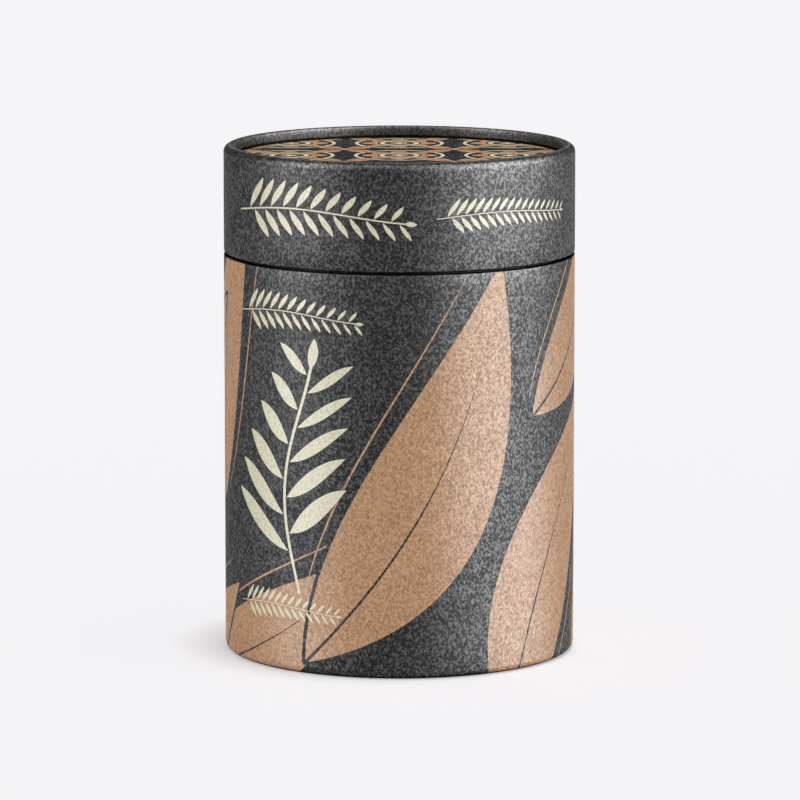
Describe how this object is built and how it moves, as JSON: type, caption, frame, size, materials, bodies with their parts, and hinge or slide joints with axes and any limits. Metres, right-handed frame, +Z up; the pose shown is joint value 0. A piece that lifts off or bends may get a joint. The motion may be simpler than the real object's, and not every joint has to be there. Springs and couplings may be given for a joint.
{
  "type": "cylindrical gift tube box",
  "caption": "Upright cylindrical gift box of paper-wrapped board, with rolled rims and a flush lid that lifts straight off an inner neck.",
  "frame": {"origin": "centre of the foot, on the surface that the box stands on", "axes": "+Z up along the tube's axis; -Y is the front of the print, with the wraps' laps down the back at +Y"},
  "size_m": [0.083, 0.0832, 0.1204],
  "materials": {
    "printed_body_wrap": "satin",
    "printed_lid_wrap": "satin",
    "printed_lid_facing": "satin",
    "kraft_facing": "matte",
    "charcoal_neck_wrap": "matte",
    "kraft_lining": "matte",
    "greyboard": "matte"
  },
  "bodies": {
    "base": {"body_tube": "greyboard", "body_wrap": "printed_body_wrap", "body_lining": "kraft_lining", "base_facing": "kraft_facing", "base_disc": "greyboard", "base_lining": "kraft_lining", "neck_tube": "greyboard", "neck_wrap": "charcoal_neck_wrap", "neck_lining": "kraft_lining"},
    "lid": {"lid_tube": "greyboard", "lid_wrap": "printed_lid_wrap", "lid_lining": "kraft_lining", "lid_facing": "printed_lid_facing", "lid_disc": "greyboard", "lid_disc_lining": "kraft_lining"}
  },
  "joints": [
    {"name": "lid_lift", "type": "slide", "parent": "base", "child": "lid", "axis": [0, 0, 1], "range_m": [0, 0.06]}
  ]
}
